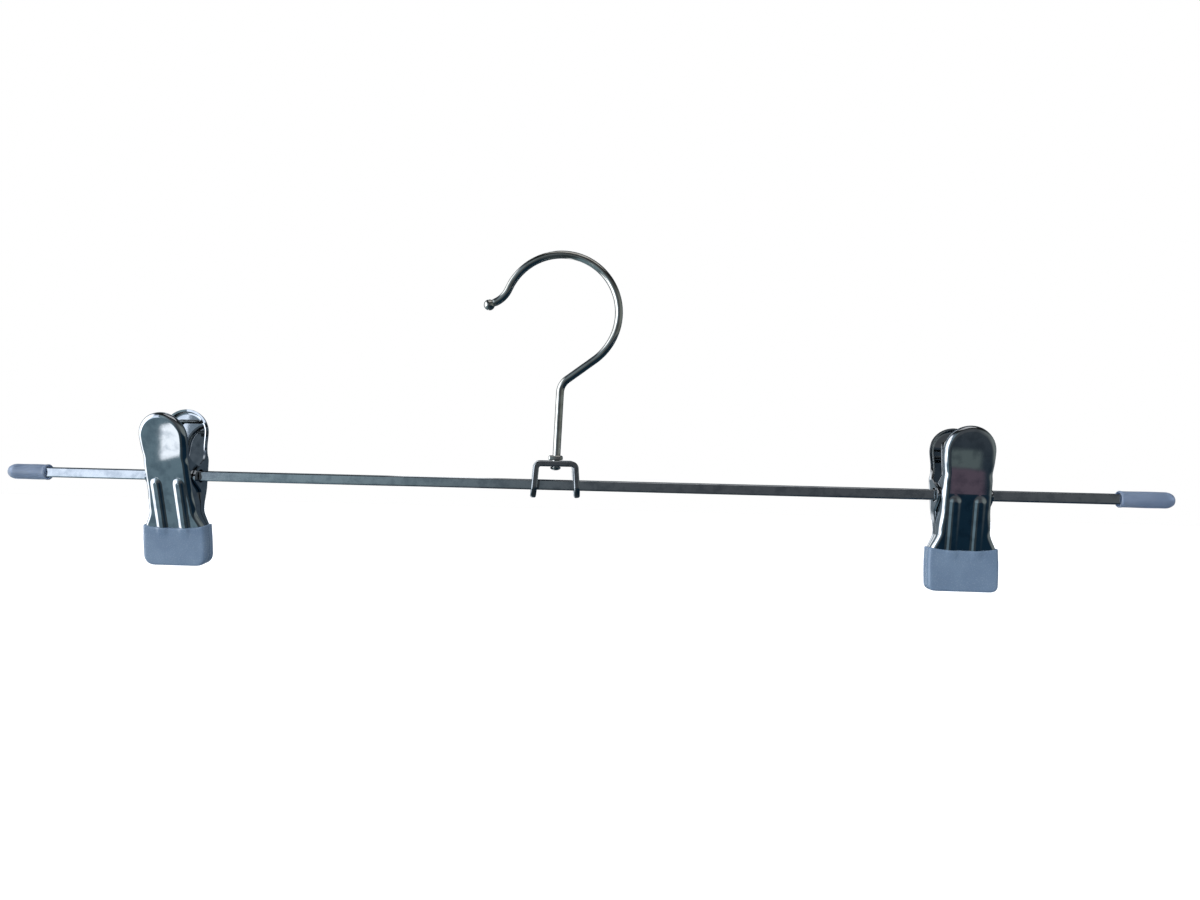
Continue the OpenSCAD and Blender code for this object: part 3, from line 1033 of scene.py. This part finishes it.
@dataclass
class Spring:
    """The torsion spring: a coil round the bar and a leg that crosses behind each pad."""

    wire: float = 1.2
    turns: float = 4.0
    coil_r: float = 3.15
    pitch: float = 1.23
    slope: float = 12.9
    foot_z: float = 19.3
    foot_reach: float = 4.5
    foot_bend: float = 1.6
    coil_play: float = 0.9
    leg_gap_deg: float = 40.0

    def bend_wire(self, name: str, path: np.ndarray, at: Matrix, edge: float) -> bpy.types.Object:
        """Runs the wire along a path and rounds its cut ends by edge."""
        radii = np.full(len(path), self.wire / 2)
        obj = loft(name, tube_rings(path, radii, sides=16, normal=(1, 0, 0)), at)
        soften_edges(obj, edge)
        shade(obj, 50)
        return obj

    def coil(self, name: str, at: Matrix) -> bpy.types.Object:
        """The turns between the two legs."""
        steps_per_turn = 40
        count = int(self.turns * steps_per_turn)
        t = np.linspace(0, self.turns * 2 * math.pi, count)
        x = (np.linspace(0, 1, count) - 0.5) * (self.turns * self.pitch - self.coil_play)
        path = np.stack([x, self.coil_r * np.cos(t), self.coil_r * np.sin(t)], axis=1)
        return self.bend_wire(name, path, at, edge=0.1)

    def leg(self, name: str, at: Matrix) -> bpy.types.Object:
        """The last turn, the straight leg and the foot that lies across the back of a pad."""
        side = self.turns * self.pitch / 2 + self.wire / 2
        up = np.array([math.sin(math.radians(self.slope)), math.cos(math.radians(self.slope))])
        turn = arc_points((0, 0), self.coil_r, self.leg_gap_deg - self.slope, 360 - self.slope, steps=44)
        lift = self.foot_z / up[1] - self.foot_bend
        start = np.array(turn[-1])
        route = [(-side, y, z) for y, z in turn]
        steps = 10
        route += [(-side, *(start + up * lift * k / steps)) for k in range(1, steps)]
        for x, s in arc_points((self.foot_bend - side, lift), self.foot_bend, 180, 90, 12):
            route.append((x, *(start + up * s)))
        last = start + up * (lift + self.foot_bend)
        route += [(x, *last) for x in np.linspace(self.foot_bend - side, self.foot_reach, 9)[1:]]
        return self.bend_wire(name, np.array(route), at, edge=0.12)


@dataclass
class Clip:
    """One clip: two jaws, two boots and the spring, all about the bar."""

    side: Side
    foot_corner: float

    def __post_init__(self) -> None:
        """Takes the clip's place from its slide joint and its tilt from its grip mount."""
        s = self.side.value
        pos = joint(f"{s}_clip_swing")["pos_m"]
        grip = mount(f"{s}_grip")["axis"]
        tilt = math.atan2(grip[1], -grip[2])
        self.at = Matrix.Translation(pos) @ Matrix.Rotation(tilt, 4, "X")

    def facing(self, half: Half) -> Matrix:
        """The frame in which +Y is the way that half looks."""
        if half is Half.BACK:
            return self.at
        return self.at @ Matrix.Scale(-1, 4, (0, 1, 0))

    def build(
        self, metal: bpy.types.Material, vinyl: bpy.types.Material, spring: bpy.types.Material
    ) -> None:
        """Makes the clip's seven pieces and hangs each on its own body."""
        s = self.side.value
        for half in Half:
            at, word = self.facing(half), half.word
            body = f"{s}_{word}"
            jaw = Jaw(half).build(f"{s}_{word}_jaw_sheet", at)
            place(jaw, body, metal, "clip_sheet", f"{s}_{word}_jaw")
            boot = Boot(foot_corner=self.foot_corner).build(f"{s}_{word}_boot_vinyl", at)
            place(boot, body, vinyl, "boot_vinyl", f"{s}_{word}_boot")
            turned = self.at if half is Half.BACK else self.at @ Matrix.Rotation(math.pi, 4, "Z")
            leg = Spring().leg(f"{s}_spring_{word}_leg_wire", turned)
            place(leg, body, spring, "spring_wire", f"{s}_spring_{word}_leg")
        coil = Spring().coil(f"{s}_spring_coil_wire", self.at)
        place(coil, f"{s}_coil", spring, "spring_wire", f"{s}_spring_coil")


# ---------------------------------------------------------------------------
# Studio
# ---------------------------------------------------------------------------


@dataclass(frozen=True)
class Layer:
    """A part of the surroundings: its light, and the ramps along X, Y or Z of direction that bound it."""

    colour: str
    gain: float = 1.0
    ramps: tuple[tuple[int, float, float], ...] = ()

    def light(self) -> tuple[float, float, float, float]:
        """The layer's light."""
        return linear(self.colour, self.gain)


X, Y, Z = 0, 1, 2
# Ramps that several layers share, or that are long to write in place
AHEAD_ONLY = (Y, 0.3, 0.12)
LOW = (Z, -0.16, -0.34)
BEHIND = (Y, 0.3, 0.6)
WINDOW_TOP = (Z, 0.85, 0.55)
DULL_LEFT = (X, 0.316, 0.319)
PAPER_HEIGHT = ((Z, -0.463, -0.459), (Z, -0.429, -0.432))

# What a polished surface sees, from the farthest layer to the nearest. The window is at -X, to the left.
ROOM = (
    Layer("#565A5E"),
    Layer("#848C8A", ramps=((X, 0.3, 0.9),)),
    Layer("#95ABB3", ramps=((X, 0.0, -0.45),)),
    # Towards the floor it darkens to a deep blue, less so below the window
    Layer("#3C464B", ramps=(LOW,)),
    Layer("#172E3E", ramps=(LOW, (X, 0.12, 0.28))),
    Layer("#768E99", ramps=(LOW, (X, -0.25, -0.42))),
    # Two dull things low at the right front, which mottle a polished pad
    Layer("#626E6E", ramps=(DULL_LEFT, (X, 0.348, 0.344), (Z, -0.243, -0.248), (Z, -0.268, -0.263))),
    Layer("#625662", ramps=(DULL_LEFT, (X, 0.351, 0.347), (Z, -0.263, -0.268), (Z, -0.294, -0.289))),
    # The ceiling is dark, and so is the wall behind, which draws a thin dark line round every edge
    Layer("#2A2B2B", ramps=((Z, 0.3, 0.7),)),
    Layer("#46525C", ramps=(BEHIND,)),
    Layer("#7C8890", ramps=(BEHIND, (X, -0.1, -0.3))),
    Layer("#F4FAFF", 1.3, (BEHIND, (X, -0.17, -0.2), (X, -0.295, -0.28))),
    # The window: pale blue at its near side, white further round, where it reaches lower
    Layer("#D3E8FF", 0.4, ((X, -0.43, -0.5), (Z, -0.2, -0.12), WINDOW_TOP, AHEAD_ONLY)),
    Layer("#F6FAFF", 2.3, ((X, -0.62, -0.74), (Z, -0.35, -0.27), WINDOW_TOP, AHEAD_ONLY)),
    Layer("#F6FAFF", 2.3, ((X, -0.78, -0.86), (Z, -0.62, -0.54), WINDOW_TOP, AHEAD_ONLY)),
    # A sunlit sheet of paper, low at the left front
    Layer("#F4FAFF", 1.7, ((X, -0.43, -0.44), (X, -0.5045, -0.5025), *PAPER_HEIGHT)),
)
# The soft light that falls on everything: brighter from the window's side, dimmer from below
SOFT = (
    Layer("#F4F8FF", 0.6),
    Layer("#F4F8FF", 1.55, ((X, 0.8, -0.6),)),
    Layer("#DCE4EE", 0.5, ((Z, -0.3, -0.9),)),
)


@dataclass(frozen=True)
class Lamp:
    """A rectangular lamp: where it stands, what it faces and its size in metres, and its watts."""

    name: str
    at: Point
    aim: Point
    size: Flat
    watts: float
    colour: str

    def build(self) -> None:
        """Adds the lamp to the studio."""
        data = bpy.data.lights.new(self.name, "AREA")
        data.shape = "RECTANGLE"
        data.size, data.size_y = self.size
        data.energy = self.watts
        data.color = linear(self.colour)[:3]
        lamp = bpy.data.objects.new(self.name, data)
        lamp.location = self.at
        lamp.rotation_mode = "QUATERNION"
        lamp.rotation_quaternion = (Vector(self.aim) - Vector(self.at)).to_track_quat("-Z", "Y")
        bpy.context.scene.collection.objects.link(lamp)


LAMPS = (
    Lamp("window_softbox", (-1.25, -0.95, 0.0), (0.0, 0.0, -0.09), (1.1, 1.1), 5.0, "#EAF3FF"),
    Lamp("top_fill", (0.2, -0.3, 1.4), (0.0, 0.0, -0.08), (1.2, 1.2), 3.0, "#FFFFFF"),
)


@dataclass
class Studio:
    """Pale floor, dim surroundings with a window to the left, and the camera. Angles are in radians."""

    lens_mm: float = 26.1
    sensor_mm: float = 36.0
    eye_mm: tuple[float, float, float] = (32.243, -297.046, -60.699)
    yaw: float = 0.06
    pitch: float = 0.015
    roll: float = 0.022
    floor_z: float = -0.6
    floor_half: float = 6000.0
    floor_t: float = 20.0
    floor_fibre_mm: float = 40.0

    def camera(self) -> None:
        """Stands the camera at the viewing angle and makes it the scene's."""
        across = Vector((math.cos(self.yaw), math.sin(self.yaw), 0))
        ahead = Vector((-math.sin(self.yaw), math.cos(self.yaw), 0))
        up = Vector((0, 0, 1))
        look = math.cos(self.pitch) * ahead - math.sin(self.pitch) * up
        top = math.sin(self.pitch) * ahead + math.cos(self.pitch) * up
        right = math.cos(self.roll) * across + math.sin(self.roll) * top
        top = -math.sin(self.roll) * across + math.cos(self.roll) * top
        data = bpy.data.cameras.new("camera")
        data.lens, data.sensor_width = self.lens_mm, self.sensor_mm
        data.clip_start, data.clip_end = 0.01, 50.0
        camera = bpy.data.objects.new("camera", data)
        turn = Matrix((right, top, -look)).transposed().to_4x4()
        camera.matrix_world = Matrix.Translation(Vector(self.eye_mm) * MM) @ turn
        bpy.context.scene.collection.objects.link(camera)
        bpy.context.scene.camera = camera

    def seen(self, g: Graph, layers: Sequence[Layer]) -> object:
        """Lays the layers over each other.

        Args:
            g: the world's graph.
            layers: the layers, farthest first.

        Returns:
            The socket with the light that comes from a direction.
        """
        way = g.add("ShaderNodeTexCoord", out="Generated")
        colour: object = layers[0].light()
        for layer in layers[1:]:
            share: object = 1.0
            for axis, low, high in layer.ramps:
                along = g.add("ShaderNodeSeparateXYZ", {0: way}, axis)
                ramp = g.add("ShaderNodeMapRange", {0: along, 1: low, 2: high}, **SMOOTH)
                share = g.add("ShaderNodeMath", {0: share, 1: ramp}, operation="MULTIPLY")
            colour = g.add("ShaderNodeMix", {0: share, 6: colour, 7: layer.light()}, 2, **COLOURS)
        return colour

    def world(self) -> None:
        """Even white for the eye, soft light from all round, and a dim room with a window in reflections."""
        world = bpy.data.worlds.new("studio")
        bpy.context.scene.world = world
        world.use_nodes = True
        world.node_tree.nodes.clear()
        g = Graph(world.node_tree)
        mirror = g.add("ShaderNodeLightPath", out="Is Glossy Ray")
        eye = g.add("ShaderNodeLightPath", out="Is Camera Ray")
        around = {0: mirror, 6: self.seen(g, SOFT), 7: self.seen(g, ROOM)}
        light = g.add("ShaderNodeMix", around, 2, **COLOURS)
        light = g.add("ShaderNodeMix", {0: eye, 6: light, 7: (1.0, 1.0, 1.0, 1.0)}, 2, **COLOURS)
        g.add("ShaderNodeOutputWorld", {"Surface": g.add("ShaderNodeBackground", {"Color": light})})

    def floor(self) -> None:
        """A wide pale floor well below the hanger, left out of reflections."""
        material, g = new_material("pale_matt_floor")
        fibres = g.speckle(self.floor_fibre_mm, detail=3.0)
        tone = g.add("ShaderNodeMapRange", {0: fibres, 1: 0.3, 2: 0.7}, **SMOOTH)
        tones = {0: tone, 6: linear("#FDFDFD"), 7: linear("#F8F9FB")}
        inputs = {
            "Base Color": g.add("ShaderNodeMix", tones, 2, **COLOURS),
            "Roughness": 0.9,
            "Emission Color": (1, 1, 1, 1),
            "Emission Strength": 0.35,
        }
        g.add("ShaderNodeOutputMaterial", {"Surface": g.add("ShaderNodeBsdfPrincipled", inputs)})
        half, z = self.floor_half, self.floor_z / MM
        square = ((-half, -half), (half, -half), (half, half), (-half, half))
        floor = loft("floor", [[(x, y, level) for x, y in square] for level in (z - self.floor_t, z)])
        floor.data.materials.append(material)
        floor.visible_glossy = False
        floor.visible_diffuse = False
        floor.visible_shadow = False

    def build(self) -> None:
        """Sets the camera, world, lamps and floor, and a plain view transform."""
        self.camera()
        self.world()
        self.floor()
        for lamp in LAMPS:
            lamp.build()
        bpy.context.scene.view_settings.view_transform = "Standard"
        bpy.context.scene.view_settings.look = "None"


def main() -> None:
    """Builds the hanger from the hook down, then the studio."""
    logging.basicConfig(level=logging.INFO, format="%(name)s: %(message)s")
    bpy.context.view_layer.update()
    Hook().build()
    Frame().build()
    metal, vinyl, spring = CLIP_SHEET.material(), BOOT_VINYL.material(), SPRING_WIRE.material()
    Clip(Side.LEFT, foot_corner=3.4).build(metal, vinyl, spring)
    Clip(Side.RIGHT, foot_corner=2.1).build(metal, vinyl, spring)
    Studio().build()


if __name__ == "__main__":
    main()
